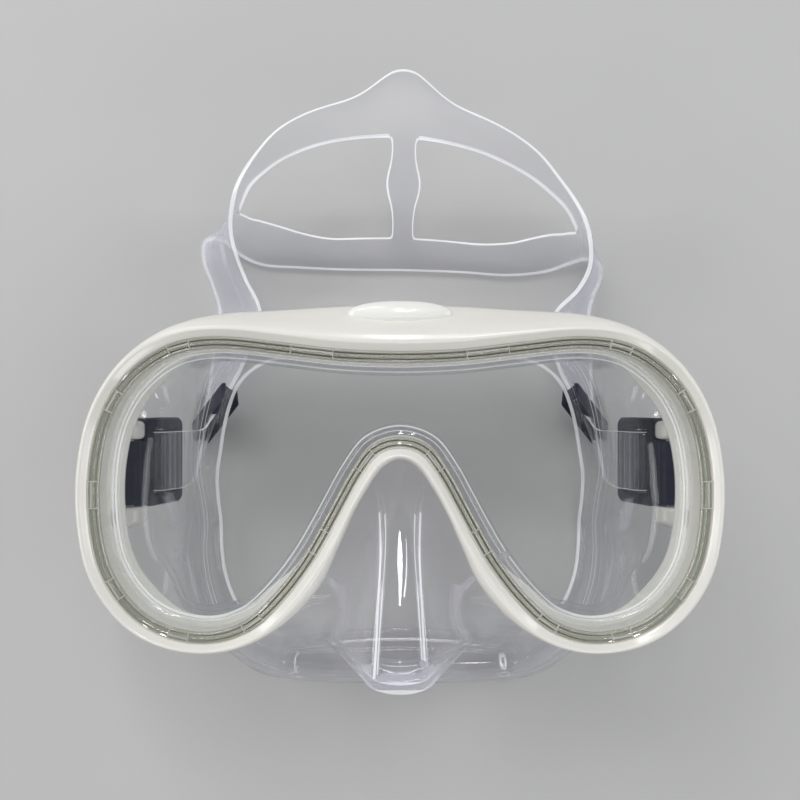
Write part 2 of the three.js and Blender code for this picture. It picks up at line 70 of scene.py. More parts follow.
# The design's own zero in Y lies a little off the box centre: the hinge pins show by how much.
HINGE_X, HINGE_Y, HINGE_Z = 74.5, -20.0, 44.0
pin_low, pin_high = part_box("hinge_pin_left")
PLAN_SHIFT = (pin_low[1] + pin_high[1]) / 2 / MM - HINGE_Y

# ---- design dimensions, in millimetres ----
FRONT_Z = 61.0
FRAME_BACK_Z = 46.0
LEDGE_Z = 52.4
LEDGE_WIDTH = 3.1
BROW_DROP = 7.0
LENS_Z = 55.0
LENS_THICK = 3.0
RING_Z = 58.3
RING_MARKS = 18
SKIRT_THICK = 1.7
SKIRT_LIFT = 19.0
STRAP_THICK = 1.7
LUG_OFFSET = 12.0
LUG_THICK = 5.6
BUCKLE_TILT = math.radians(18)
ROLLER_DROP = 14.0
PLATE_LIFT = 2.5
ROLLER_R = 2.6
STRAP_WIDTH = 17.0
BADGE_HALF = (14.0, 3.4, 3.6)
BADGE_Y, BADGE_Z = 22.9, 54.4
RIM_STATIONS = 288
# The second slot is a glowing silicone that paints highlights; the third is a milkier silicone, mostly
# painted sheen.
PLAIN, PAINTED_HIGHLIGHT, MILKY_SHEEN = range(3)   # material slots of the soft sheets

FRAME_OUTER = [
    (0, 25.6), (16, 25.2), (31, 24.2), (46.5, 23), (57, 20.7), (65, 16.9), (72.6, 10.8), (78, 3.7),
    (81.8, -4.5), (83.9, -13.5), (84.8, -23.5), (84.2, -34), (82.2, -44), (78.3, -52), (72.4, -58.9),
    (65.5, -63.4), (57.8, -65.8), (49.5, -66.3), (41.5, -64.8), (34, -61.3), (27, -56), (20.3, -47.8),
    (15.8, -38), (12, -29.5), (8.2, -22.8), (4.4, -17.6), (0, -15.6),
]
LIP_INNER = [
    (0, 12.7), (16, 13.3), (31, 15), (45, 16.5), (55.3, 15.9), (63, 13.2), (70, 8.2), (75, 2.1),
    (78.6, -5.5), (80.6, -14), (81.4, -23.5), (80.9, -33.5), (79, -42.8), (75.5, -50), (70.3, -56.3),
    (64.2, -60.5), (57.2, -62.9), (49.7, -63.5), (42.8, -62), (36.2, -58.3), (29, -51), (23, -43),
    (18.3, -35), (14.2, -27.4), (10.2, -20.2), (5.8, -14.4), (0, -12.6),
]
SEAL_FOLD = [
    (0, 20), (16, 20.5), (30, 20), (42, 17.5), (50, 13), (54.5, 7), (57, 0), (58.6, -7), (59.4, -14),
    (59.8, -21), (60.2, -29), (61.2, -38), (61.6, -47), (60.6, -56), (58, -65), (54.5, -73), (50, -79),
    (44.5, -83), (39, -85), (33.5, -86), (28, -86.5), (23, -86.8), (18, -87), (13, -87), (8.5, -87),
    (4.2, -86.8), (0, -86.5),
]
SEAL_EDGE = [
    (0, 13.5), (15, 13.8), (28, 13), (38, 11.5), (44, 8.5), (48, 4), (50.4, -2), (52, -8.5), (53, -15),
    (54, -22), (55.2, -29.5), (56.2, -38), (56, -46), (55, -54), (52.5, -61.5), (49, -67.5), (45, -71.6),
    (40.5, -74), (35.5, -75), (30, -74.5), (25, -73.6), (20, -73), (16, -72.6), (12, -72.4), (8, -72.2),
    (4, -72), (0, -72),
]
# Each row runs from the frame to the tip and on to the seal, from the outermost station to the middle.
NOSE_ROWS = [
    [(31.5, -62.5, 40), (31, -64.5, 34), (31.2, -67, 28),
     (31.5, -69.5, 23), (31.8, -72, 18), (32, -75, 13)],
    [(22.5, -57.5, 41.5), (21.5, -61, 38.5), (22.3, -64.5, 35),
     (23.6, -68, 30), (25, -71, 24), (26, -74.5, 16)],
    [(16, -50.5, 44.5), (14.6, -56, 46.5), (15.4, -61.5, 47.5),
     (18, -65.5, 46), (19.4, -68.2, 38), (20.5, -73, 20)],
    [(12.2, -41.5, 46), (10, -49, 51.5), (10.6, -59, 55),
     (12.6, -68.5, 55), (13.8, -71.5, 45), (14.6, -74.5, 22)],
    [(9, -33, 46.3), (7, -43, 54.5), (8, -57, 59.5),
     (9.2, -70.5, 60.5), (9.8, -73.8, 50), (10.2, -75.5, 24)],
    [(5.9, -26.5, 46.5), (4.7, -38, 55.5), (5.6, -55, 61.2),
     (6.6, -72, 62.4), (6.9, -75.6, 53), (7, -76, 25)],
    [(3.4, -21.5, 46.5), (2.6, -36, 55.8), (3.1, -55, 61.8),
     (3.5, -72.4, 63.2), (3.6, -76.4, 54), (3.6, -76.4, 25)],
    [(0, -19.5, 46.5), (0, -35.5, 55.8), (0, -55, 62),
     (0, -72.6, 63.4), (0, -76.6, 54.4), (0, -76.5, 25)],
]
NOSE_FIRST = len(FRAME_OUTER) - len(NOSE_ROWS)

# Head strap: (lower edge on the table, raised upper edge), from each buckle to the middle of the pad.
STRAP_WEARER_RIGHT = [
    ((-62.6, -25.5, 15.4), (-60.2, -9.5, 15)), ((-61.8, -13, 6.5), (-54, 0, 13)),
    ((-61, 0, 2.4), (-49, 9, 13)), ((-59.5, 14, 1.2), (-45, 18, 13.5)),
    ((-57.6, 28.3, 1), (-42.6, 27, 14)), ((-59.6, 36, 1), (-47, 37, 15)),
    ((-62.5, 44, 1), (-49.4, 44, 17.5)), ((-62, 50.5, 1), (-50.5, 50.5, 20.5)),
    ((-56.5, 50.5, 1), (-49.6, 57, 24)), ((-50, 45.3, 1), (-47.2, 63.3, 28)),
    ((-43.6, 42.6, 1), (-41.5, 71.2, 31)), ((-32, 41.8, 1), (-34, 78, 34)),
    ((-18, 41.2, 1), (-20, 83.4, 36.8)),
]
STRAP_WEARER_LEFT = [
    ((62.6, -25.5, 15.4), (60.2, -9.5, 15)), ((61.8, -13, 6.5), (54, 0, 13)), ((61, 0, 2.4), (49, 9, 13)),
    ((60.8, 14, 1.2), (46.6, 18, 14)), ((60.2, 27, 1), (47, 26, 15)), ((61.5, 33, 1), (54, 33.5, 16)),
    ((63.5, 38, 1), (57, 39.5, 18)), ((63.5, 43, 1), (57, 45, 20.5)), ((59, 44.6, 1), (55.8, 50, 23.5)),
    ((53.5, 43, 1), (53.2, 55.6, 26)), ((46.5, 40.6, 1), (46.2, 64.2, 30)),
    ((35, 39.4, 1), (38, 72.4, 33.3)), ((19, 40.4, 1), (22, 80.6, 36.6)),
]
STRAP_MIDDLE = ((0, 41, 1), (0.6, 84.8, 37.8))


# ---- geometry helpers ----
def smoothstep(low, high, x):
    """A smooth rise from 0 at low to 1 at high; low may be the larger of the two."""
    t = np.clip((np.asarray(x, float) - low) / (high - low), 0, 1)
    return t * t * (3 - 2 * t)


def mix(a, b, t):
    """From a at t = 0 to b at t = 1."""
    return a + (b - a) * t


def to_row(points):
    """Design millimetres to the row frame in metres."""
    return (np.asarray(points, float) + (0, PLAN_SHIFT, 0)) * MM


def ring_points(half):
    """A closed Catmull-Rom ring through the right-half points and their mirror images."""
    half = np.asarray(half, float)
    mirrored = half[1:-1][::-1] * np.array([-1.0] + [1.0] * (half.shape[1] - 1))
    ring = np.vstack([half, mirrored])
    n = len(ring)
    s = np.arange(RIM_STATIONS) / RIM_STATIONS * n
    i = np.floor(s).astype(int)
    t = (s - i)[:, None]
    a, b, c, d = (ring[(i + k) % n] for k in (-1, 0, 1, 2))
    return b + 0.5 * t * (c - a + t * (2 * a - 5 * b + 4 * c - d + t * (3 * (b - c) + d - a)))


def smooth_path(points, count):
    """A centripetal Catmull-Rom curve through the points, sampled evenly in each span."""
    p = np.asarray(points, float)
    p = np.vstack([2 * p[0] - p[1], p, 2 * p[-1] - p[-2]])
    spans = len(p) - 3
    s = np.linspace(0, spans, count)
    i = np.minimum(s.astype(int), spans - 1)
    w = (s - i)[:, None]
    a, b, c, d = (p[i + k] for k in range(4))
    chords = (np.linalg.norm(v - u, axis=1)[:, None] for u, v in ((a, b), (b, c), (c, d)))
    ta, tb, tc = (np.maximum(chord, 1e-6) ** 0.5 for chord in chords)
    m1 = ((b - a) / ta - (c - a) / (ta + tb) + (c - b) / tb) * tb
    m2 = ((c - b) / tb - (d - b) / (tb + tc) + (d - c) / tc) * tb
    return b + m1 * w + (3 * (c - b) - 2 * m1 - m2) * w**2 + (2 * (b - c) + m1 + m2) * w**3


def offset_ring(ring, distance):
    """Moves a flat ring sideways; negative distances go to the inside."""
    along = np.roll(ring, -1, axis=0) - np.roll(ring, 1, axis=0)
    along /= np.linalg.norm(along, axis=1)[:, None]
    return ring + np.column_stack([-along[:, 1], along[:, 0]]) * distance


def make_object(name, points, faces, materials, sharp=40.0, slots=None):
    """A smooth-shaded mesh object from design points, its faces turned outwards.

    slots picks each face's material."""
    mesh = bpy.data.meshes.new(name)
    mesh.from_pydata(to_row(points).tolist(), [], faces)
    for material in materials:
        mesh.materials.append(material)
    if slots:
        mesh.polygons.foreach_set("material_index", slots)
    mesh.validate()
    bm = bmesh.new()
    bm.from_mesh(mesh)
    bmesh.ops.remove_doubles(bm, verts=bm.verts, dist=1e-6)
    bmesh.ops.delete(bm, geom=[v for v in bm.verts if not v.link_faces], context="VERTS")
    bmesh.ops.recalc_face_normals(bm, faces=bm.faces)
    bm.to_mesh(mesh)
    bm.free()
    mesh.shade_smooth()
    mesh.set_sharp_from_angle(angle=math.radians(sharp))
    obj = bpy.data.objects.new(name, mesh)
    bpy.context.scene.collection.objects.link(obj)
    return obj


def loop_faces(rings, around, close=True):
    """Quads between successive rings of points; the last ring joins the first if close is set."""
    faces = []
    for i in range(rings if close else rings - 1):
        for j in range(around):
            k, l = (i + 1) % rings, (j + 1) % around
            faces.append((i * around + j, k * around + j, k * around + l, i * around + l))
    return faces


def loft_ring(name, sections, materials, profile_slots):
    """A closed band from sections[station][profile point].

    profile_slots picks the material along the profile."""
    sections = np.asarray(sections)
    stations, points = sections.shape[:2]
    slots = [*profile_slots, *[0] * (points - len(profile_slots))] * stations
    return make_object(name, sections.reshape(-1, 3), loop_faces(stations, points), materials, 50, slots)


def grid_normals(grid, closed):
    """Unit normals of a grid of points. A closed grid's last row joins its first."""
    if closed:
        along = np.roll(grid, -1, axis=0) - np.roll(grid, 1, axis=0)
    else:
        along = np.gradient(grid, axis=0)
    normal = np.cross(along, np.gradient(grid, axis=1))
    return normal / np.maximum(np.linalg.norm(normal, axis=2), 1e-9)[:, :, None]


def sheet(name, grid, thickness, materials, highlight_slots, closed=False, keep=None, floor=None, ends=None):
    """A solid of soft material: two skins either side of the grid, with walls round every open edge.

    The walls take the glowing highlight material, painted highlights on thick free edges. Where ends is
    given, the walls of the first and last rows take its two materials instead. keep says which cells are
    there, and finish gives each cell's material. An open sheet is smoothed once more."""
    rows, cols = grid.shape[:2]
    half = grid_normals(grid, closed) * np.broadcast_to(thickness, (rows, cols))[:, :, None] / 2
    points = np.concatenate([(grid + half).reshape(-1, 3), (grid - half).reshape(-1, 3)])
    if floor is not None:
        points[:, 2] = np.maximum(points[:, 2], floor)
    cells = rows if closed else rows - 1
    mask = np.ones((cells, cols - 1), bool) if keep is None else keep
    lower = rows * cols
    faces, slots = [], []

    def at(i, j):
        return (i % rows) * cols + j

    def kept(i, j):
        if closed:
            i %= rows
        return 0 <= i < cells and 0 <= j < cols - 1 and mask[i, j]

    for i in range(cells):
        for j in range(cols - 1):
            if not mask[i, j]:
                continue
            a, b, c, d = at(i, j), at(i + 1, j), at(i + 1, j + 1), at(i, j + 1)
            faces += [(a, b, c, d), (a + lower, d + lower, c + lower, b + lower)]
            slots += [int(highlight_slots[i, j])] * 2
            for p, q, m, n in ((a, b, i, j - 1), (b, c, i + 1, j), (c, d, i, j + 1), (d, a, i - 1, j)):
                if not kept(m, n):
                    faces.append((q, p, p + lower, q + lower))
                    slots.append(ends[m > i] if ends and not 0 <= m < cells else PAINTED_HIGHLIGHT)
    obj = make_object(name, points, faces, materials, 70, slots)
    if not closed:
        smooth = obj.modifiers.new("smooth", "SUBSURF")
        smooth.levels = smooth.render_levels = 1
    return obj


def bevelled(obj, width, segments=2):
    """Rounds an object's sharp edges, width in millimetres."""
    bevel = obj.modifiers.new("edges", "BEVEL")
    bevel.width = width * MM
    bevel.segments = segments
    bevel.limit_method = "ANGLE"
    bevel.angle_limit = math.radians(35)
    bevel.harden_normals = True
    return obj


# ---- material helpers ----
class Nodes:
    """A short way to build one node material."""

    def __init__(self, name):
        self.material = bpy.data.materials.new(name)
        self.material.use_nodes = True
        self.tree = self.material.node_tree
        self.shader = self.tree.nodes["Principled BSDF"]
        self.place = self.add("ShaderNodeTexCoord").outputs["Object"]

    def add(self, kind, **values):
        node = self.tree.nodes.new(kind)
        for key, value in values.items():
            setattr(node, key, value)
        return node

    def link(self, source, target):
        self.tree.links.new(source, target)

    def set(self, **values):
        for key, value in values.items():
            self.shader.inputs[key.replace("_", " ")].default_value = value

    def noise(self, scale, detail=3.0):
        node = self.add("ShaderNodeTexNoise")
        node.inputs["Scale"].default_value = scale
        node.inputs["Detail"].default_value = detail
        self.link(self.place, node.inputs["Vector"])
        return node.outputs["Fac"]

    def ramp(self, factor, low, high, start=0.3, end=0.7):
        node = self.add("ShaderNodeMapRange")
        for key, value in (("From Min", start), ("From Max", end), ("To Min", low), ("To Max", high)):
            node.inputs[key].default_value = value
        self.link(factor, node.inputs["Value"])
        return node.outputs["Result"]

    def blend(self, factor, first, second):
        node = self.add("ShaderNodeMix", data_type="RGBA")
        node.inputs["A"].default_value = (*first, 1)
        node.inputs["B"].default_value = (*second, 1)
        self.link(factor, node.inputs["Factor"])
        return node.outputs["Result"]

    def math(self, operation, first, second, third=None):
        node = self.add("ShaderNodeMath", operation=operation, use_clamp=True)
        for socket, value in zip(node.inputs, (first, second, third)):
            if isinstance(value, (int, float)):
                socket.default_value = value
            elif value is not None:
                self.link(value, socket)
        return node.outputs["Value"]

    def mix(self, factor, first, second):
        node = self.add("ShaderNodeMixShader")
        self.link(factor, node.inputs[0])
        self.link(first.outputs[0], node.inputs[1])
        self.link(second.outputs[0], node.inputs[2])
        return node

    def bump(self, height, strength, distance):
        node = self.add("ShaderNodeBump")
        node.inputs["Strength"].default_value = strength
        node.inputs["Distance"].default_value = distance * MM
        self.link(height, node.inputs["Height"])
        self.link(node.outputs["Normal"], self.shader.inputs["Normal"])


def hard_plastic(name, light, dark, roughness, grain=900, coat=0.0, glow=0.0, shine=0.5):
    """Moulded plastic: slightly mottled between two tones, with a fine grain."""
    n = Nodes(name)
    n.link(n.blend(n.ramp(n.noise(35), 0, 1), dark, light), n.shader.inputs["Base Color"])
    n.link(n.ramp(n.noise(120), roughness * 0.8, roughness * 1.25), n.shader.inputs["Roughness"])
    n.bump(n.noise(grain, 4), 0.12, 0.05)
    n.set(IOR=1.5, Coat_Weight=coat, Coat_Roughness=0.06, Specular_IOR_Level=shine)
    n.set(Emission_Color=(*light, 1), Emission_Strength=glow)
    return n.material


def see_through(name, tint, haze, milk, gloss_roughness, wave, mirror=0.03, glow=0.0):
    """Clear silicone, plastic or glass.

    haze is how milky it is looked straight through and looked along, and mirror its least reflection."""
    n = Nodes(name)
    darker = tuple(c * 0.94 for c in milk)
    n.link(n.blend(n.ramp(n.noise(40), 0, 1), darker, milk), n.shader.inputs["Base Color"])
    n.link(n.ramp(n.noise(90), 0.25, 0.45), n.shader.inputs["Roughness"])
    n.set(IOR=1.41, Emission_Color=(*milk, 1), Emission_Strength=glow)
    clear = n.add("ShaderNodeBsdfTransparent")
    clear.inputs["Color"].default_value = (*tint, 1)
    gloss = n.add("ShaderNodeBsdfGlossy")
    gloss.inputs["Roughness"].default_value = gloss_roughness
    n.bump(n.noise(55, 2), wave, 0.25)
    n.link(n.shader.inputs["Normal"].links[0].from_socket, gloss.inputs["Normal"])
    weight = n.add("ShaderNodeLayerWeight")
    weight.inputs["Blend"].default_value = 0.5
    facing = weight.outputs["Facing"]
    milky = n.math("MULTIPLY_ADD", n.math("POWER", facing, 2.6), haze[1] - haze[0], haze[0])
    milky = n.math("MULTIPLY", milky, n.ramp(n.noise(60), 0.85, 1.15))
    shine = n.math("MULTIPLY_ADD", n.math("POWER", facing, 5.0), 0.65, mirror)
    surface = n.mix(shine, n.mix(milky, clear, n.shader), gloss)
    n.link(surface.outputs[0], n.tree.nodes["Material Output"].inputs["Surface"])
    return n.material


def metal(name, colour, roughness):
    """Drawn steel, a little uneven in tone and polish."""
    n = Nodes(name)
    darker = tuple(c * 0.85 for c in colour)
    n.link(n.blend(n.ramp(n.noise(200), 0, 1), darker, colour), n.shader.inputs["Base Color"])
    n.link(n.ramp(n.noise(600), roughness * 0.8, roughness * 1.3), n.shader.inputs["Roughness"])
    n.set(Metallic=1.0)
    return n.material


CREAM = hard_plastic("cream_plastic", (0.80, 0.785, 0.735), (0.77, 0.75, 0.70), 0.2, coat=0.5)
# A lighter, glowing copy of the cream: painted light for the shaded ledge and bore under the lens.
CREAM_PAINTED_LIGHT = hard_plastic("cream_painted_light", (0.84, 0.825, 0.78), (0.81, 0.79, 0.74), 0.3, glow=0.15)
BADGE = hard_plastic("badge_plastic", (0.88, 0.875, 0.84), (0.85, 0.84, 0.80), 0.14, coat=0.5)
NAVY = hard_plastic(
    "navy_plastic", (0.006, 0.009, 0.036), (0.004, 0.006, 0.024), 0.42, grain=1600, shine=0.25)
NAVY_SOFT = hard_plastic(
    "navy_soft_plastic", (0.010, 0.014, 0.046), (0.007, 0.009, 0.030), 0.5, grain=1600, shine=0.3)
SILICONE = see_through(
    "clear_silicone", (0.978, 0.978, 0.986), (0.006, 0.32), (0.90, 0.905, 0.97), 0.04, 0.18, 0.045)
# A milkier silicone: partly the silicone's own haze, mostly painted sheen and highlights on crests, ribs,
# lines and edge-on parts.
SILICONE_MILKY_SHEEN = see_through(
    "milky_sheen_silicone", (0.97, 0.97, 0.985), (0.16, 0.6), (0.90, 0.905, 0.99), 0.06, 0.15, 0.045)
# Glowing, milky silicone: painted highlights on free edges and moulded lines.
SILICONE_PAINTED_HIGHLIGHT = see_through(
    "silicone_painted_highlight", (0.97, 0.97, 0.985), (0.5, 0.95), (0.97, 0.975, 1.0), 0.08, 0.15, 0.04, glow=0.4)
STRAP_SILICONE = see_through(
    "strap_silicone", (0.975, 0.975, 0.985), (0.06, 0.95), (0.93, 0.935, 1.0), 0.14, 0.3, 0.012)
TAIL_SILICONE = see_through(
    "tail_silicone", (0.978, 0.978, 0.986), (0.02, 0.4), (0.92, 0.925, 1.0), 0.06, 0.2, 0.035)
RING_CLEAR = see_through(
    "ring_clear", (0.86, 0.855, 0.82), (0.2, 0.75), (0.60, 0.59, 0.53), 0.035, 0.1, 0.1)
# A dark copy of the clear ring: painted shade for the bottoms of its grooves.
RING_GROOVE_SHADE = see_through(
    "ring_groove_shade", (0.30, 0.30, 0.25), (0.45, 0.75), (0.07, 0.07, 0.055), 0.1, 0.1, 0.02)
RING_MARK = see_through(
    "ring_marks", (0.93, 0.93, 0.92), (0.35, 0.8), (0.90, 0.89, 0.85), 0.06, 0.1, 0.08)
# The glass passes somewhat less light than clear glass: partly its own loss, partly painted shade on what is
# seen under the lens.
GLASS = see_through(
    "lens_glass", (0.93, 0.936, 0.931), (0.0, 0.03), (0.50, 0.60, 0.55), 0.015, 0.0, 0.018)
GLASS_EDGE = see_through(
    "lens_glass_edge", (0.70, 0.78, 0.74), (0.4, 0.8), (0.40, 0.52, 0.46), 0.10, 0.1)
STEEL = metal("pin_steel", (0.72, 0.73, 0.74), 0.28)

# ---- rings shared by frame, lens, ring and skirt ----
outer = ring_points(FRAME_OUTER)
lip = ring_points(LIP_INNER)
ledge = offset_ring(lip, -LEDGE_WIDTH)


def ride(obj, body, slot, *nodes):
    """Fixes a piece to a body and hides the CAD nodes it stands in for. Its slot argument is not used."""
    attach(obj, body)
    if nodes:
        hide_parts(*nodes)


def make_frame():
    """The hard frame: a lip over the ring, a rounded outer wall, a sloping brow and a rear flange."""
    arc = np.linspace(0, math.pi / 2, 14)
    across = np.sin(arc) ** 0.85
    down = 5.4 * (1 - np.cos(arc) ** 0.8)
    at_side = smoothstep(56, 72, np.abs(lip[:, 0]))
    at_nose = smoothstep(34, 24, np.abs(lip[:, 0])) * (lip[:, 1] < 0)
    below = smoothstep(10, -10, lip[:, 1])
    flange_width = mix(mix(0.6, 1.9, below), 3.7, at_side) * (1 - at_nose)
    flange = offset_ring(lip, -(LEDGE_WIDTH + flange_width + 0.05)[:, None])
    sections = []
    for l, o, r, f in zip(lip, outer, ledge, flange):
        brow = smoothstep(4, 16, o[1]) * BROW_DROP * smoothstep(70, 20, abs(o[0]))
        wide = np.linalg.norm(o - l)
        start = min(1.9, 0.5 * wide) / wide
        # The profile starts at the rear, with the flange, bore and ledge that are seen through the lens.
        # They take a lighter, glowing cream: painted light on parts that lie in shade under the lens.
        profile = [(r, FRAME_BACK_Z), (r, 47.9), (f, 48.1), (f, 49.0), (r, 49.2)]
        profile += [(r, LEDGE_Z), (l, LEDGE_Z)]
        for u, z in ((0, -1.5), (0.12, -1.3), (0.5, -0.8), (0.8, -0.36), (0.92, -0.19), (1.0, -0.09)):
            profile.append((mix(l, o, start * u), FRONT_Z + z))
        for u, fall in zip(across, down):
            u = mix(start * 1.12, 1, u)
            profile.append((mix(l, o, u), FRONT_Z - fall - brow * 0.9 * smoothstep(0.25, 1.0, u)))
        rim_z = FRONT_Z - down[-1] - brow * 0.9
        for u, t in ((1, 0.35), (1, 0.7), (0.995, 1.0)):
            profile.append((mix(l, o, u), mix(rim_z, 47.4, t)))
        profile += [(mix(l, o, 0.97), 46.4), (mix(l, o, 0.9), FRAME_BACK_Z)]
        sections.append([(p[0], p[1], z) for p, z in profile])
    shell = loft_ring("frame_shell", sections, [CREAM, CREAM_PAINTED_LIGHT], (0, 1, 1, 1, 1, 1, 1))
    ride(shell, "mask", "frame_cream", "front_frame")


def make_lugs():
    """The lugs on the frame's rear edge that hold the hinge pins, wider where they leave the frame."""
    outline = [
        (84.0, 46.4), (81.5, 49.2), (79.5, 49.6), (77.2, 49.3), (75, 48.6), (73, 47.6), (71.4, 46.4),
        (70.5, 44.8), (70.5, 42.8), (71.4, 41.0), (73, 39.9), (75, 39.6), (77.2, 40.3), (79.5, 41.5),
        (82, 44.6),
    ]
    n = len(outline)
    for label, side in SIDES:
        for tag, up in (("upper", 1), ("lower", -1)):
            near = HINGE_Y + up * (LUG_OFFSET - LUG_THICK / 2)
            points = [(side * x, near, z) for x, z in outline]
            for x, z in outline:
                thick = LUG_THICK - 0.6 + 2.6 * smoothstep(73, 84, x)
                points.append((side * x, near + up * thick, z))
            faces = [tuple(range(n)), tuple(range(2 * n - 1, n - 1, -1))]
            faces += [(i, i + n, (i + 1) % n + n, (i + 1) % n) for i in range(n)]
            lug = make_object(f"lug_{tag}_{label}", points, faces, [CREAM])
            ride(bevelled(lug, 1.3, 4), "mask", "frame_cream")


def make_lens():
    """One pane of tempered glass with a small bevel and a greenish ground edge."""
    bevel = 0.4
    rim = offset_ring(lip, -0.5)
    inner = offset_ring(lip, -0.9)
    top = LENS_Z + LENS_THICK
    n = len(rim)
    rows = [(inner, LENS_Z), (rim, LENS_Z + bevel), (rim, top - bevel), (inner, top)]
    points = np.concatenate([np.column_stack([p, np.full(n, z)]) for p, z in rows])
    faces = loop_faces(4, n, close=False)
    faces += [tuple(range(n)), tuple(range(4 * n - 1, 3 * n - 1, -1))]
    lens = make_object("lens_pane", points, faces, [GLASS, GLASS_EDGE], sharp=20)
    for face in lens.data.polygons:
        if abs(face.normal.z) < 0.9:
            face.material_index = 1
    ride(lens, "mask", "lens_glass", "lens")


def make_ring():
    """The clear retaining ring: three beads with a groove between each two."""
    profile = [
        (0.0, 0.0), (0.0, 0.9), (0.06, 1.2), (0.16, 1.35), (0.26, 1.2), (0.3, 0.3), (0.38, 0.3),
        (0.42, 1.3), (0.52, 1.7), (0.64, 1.75), (0.72, 1.5), (0.76, 0.5), (0.81, 0.5), (0.85, 1.4),
        (0.93, 1.5), (1.0, 1.2), (1.0, 0.0),
    ]
    out = offset_ring(lip, -0.3)
    sections = [[(*mix(i, o, u), RING_Z + z) for u, z in profile] for i, o in zip(ledge, out)]
    # The bottoms of the two grooves take a dark material: painted shade in the grooves.
    grooves = (0, 0, 0, 0, 0, 1, 0, 0, 0, 0, 0, 1, 0, 0, 0, 0, 0)
    ring = loft_ring("lens_ring", sections, [RING_CLEAR, RING_GROOVE_SHADE], grooves)
    ride(ring, "mask", "ring_clear", "retaining_ring")


def make_ring_marks():
    """The snap tabs along the ring: pairs of short ribs across it with a raised lip between them."""
    out = offset_ring(lip, -0.35)
    points, faces = [], []

    def block(corners, low, high):
        first = len(points)
        points.extend((*p, z) for z in (low, high) for p in corners)
        sides = ((0, 1, 2, 3), (7, 6, 5, 4), (0, 4, 5, 1), (1, 5, 6, 2), (2, 6, 7, 3), (3, 7, 4, 0))
        faces.extend(tuple(first + v for v in face) for face in sides)

    step = RIM_STATIONS / RING_MARKS
    for k in range(RING_MARKS):
        middle = int((k + 0.5) * step)
        ends = []
        for shift in (-2, 2):
            i = (middle + shift) % RIM_STATIONS
            start, end = mix(ledge[i], out[i], 0.12), out[i]
            across = end - start
            side = np.array([-across[1], across[0]]) / np.linalg.norm(across) * 0.13
            block((start - side, end - side, end + side, start + side), RING_Z + 0.9, RING_Z + 1.95)
            ends.append((mix(start, end, 0.55), mix(start, end, 0.72)))
        block((ends[0][0], ends[0][1], ends[1][1], ends[1][0]), RING_Z + 1.2, RING_Z + 2.0)
    ride(make_object("ring_snap_tabs", points, faces, [RING_MARK]), "mask", "ring_clear")


def make_badge():
    """The polished oval boss at the brow."""
    rings, around = 24, 64
    half_x, half_y, half_z = BADGE_HALF
    points = []
    for i in range(rings + 1):
        a = math.pi * i / rings
        for j in range(around):
            b = 2 * math.pi * j / around
            x = half_x * math.sin(a) * abs(math.cos(b)) ** 0.9 * math.copysign(1, math.cos(b))
            y = BADGE_Y + half_y * math.sin(a) * math.sin(b)
            points.append((x, y, BADGE_Z + half_z * math.cos(a)))
    badge = make_object("brow_badge", points, loop_faces(rings + 1, around, close=False), [BADGE])
    ride(badge, "mask", "badge_cream", "top_badge")


def skirt_paths():
    """One path from the lens lip to the seal's inner edge for each outline station."""
    outlines = [np.asarray(rows, float) for rows in (LIP_INNER, FRAME_OUTER, SEAL_FOLD, SEAL_EDGE)]
    lips = outlines[0]
    mirror = np.array([-1.0, 1.0])
    before = np.vstack([lips[1] * mirror, lips[:-1]])
    after = np.vstack([lips[1:], lips[-2] * mirror])
    along = (after - before) / np.linalg.norm(after - before, axis=1)[:, None]
    inside = np.column_stack([along[:, 1], -along[:, 0]])
    paths = []
    for i, (l, o, fold, edge) in enumerate(zip(*outlines)):
        lift = SKIRT_LIFT * smoothstep(-40, -20, fold[1])
        side = smoothstep(58, 72, abs(l[0]))
        at_top = smoothstep(-6, 4, l[1]) * smoothstep(74, 62, abs(l[0]))
        path = [(l + inside[i] * 0.7, 53.7), (l + inside[i] * mix(4.6, 3.3, at_top), 53.7)]
        if i >= NOSE_FIRST:
            path += [(l + inside[i] * 5.9, 49), (l + inside[i] * 5.4, 45.4)]
            path += [(mix(l + inside[i] * 3.6, o, 0.3), 43.5), (o, 43.6)]
            path += [(np.array(p[:2], float), p[2]) for p in NOSE_ROWS[i - NOSE_FIRST]]
        else:
            shoulder = l + inside[i] * mix(mix(6.4, 5.2, at_top), 12.5, side)
            waist = mix(shoulder, fold, mix(0.55, 0.94, side))
            waist_z = mix(30, 36, side)
            path += [(l + inside[i] * mix(5.9, 4.5, at_top), 52.2), (shoulder, mix(44, 48, side))]
            path += [(mix(shoulder, waist, 0.6), mix(37, 41, side)), (waist, waist_z)]
            path.append((mix(waist, fold, 0.5), mix(waist_z, 10 + lift, 0.45)))
        for u, z in ((-0.02, 7.5), (0.05, 2.6), (0.25, 0.9), (0.6, 0.9), (1, 3.4)):
            path.append((mix(fold, edge, u), z + lift))
        paths.append(np.array([(p[0], p[1], z) for p, z in path]))
    return paths


# Distances along each path of the skirt, in millimetres: from the lens lip, the seal's fold and its edge.
NEAR_LIP = np.array([0, 0.4, 1.0, 2.0, 3.2, 4.0, 4.6, 5.2, 5.9])
NEAR_FOLD = np.array([-6.0, -5.0, -4.4, -3.9, -3.0, -2.2, -1.5, -1.0, -0.5, 0.0, 0.6, 1.3, 2.2])
NEAR_EDGE = np.array([2.6, 2.0, 1.5, 1.1, 0.75, 0.45, 0.2, 0.0])
WALL_COLUMNS, FLAP_COLUMNS = 30, 8
FOLD_COLUMN = len(NEAR_LIP) + WALL_COLUMNS + int(np.argmin(np.abs(NEAR_FOLD)))
EDGE_COLUMN = len(NEAR_LIP) + WALL_COLUMNS + len(NEAR_FOLD) + FLAP_COLUMNS
STATIONS_PER_ROW = RIM_STATIONS / (2 * len(FRAME_OUTER) - 2)


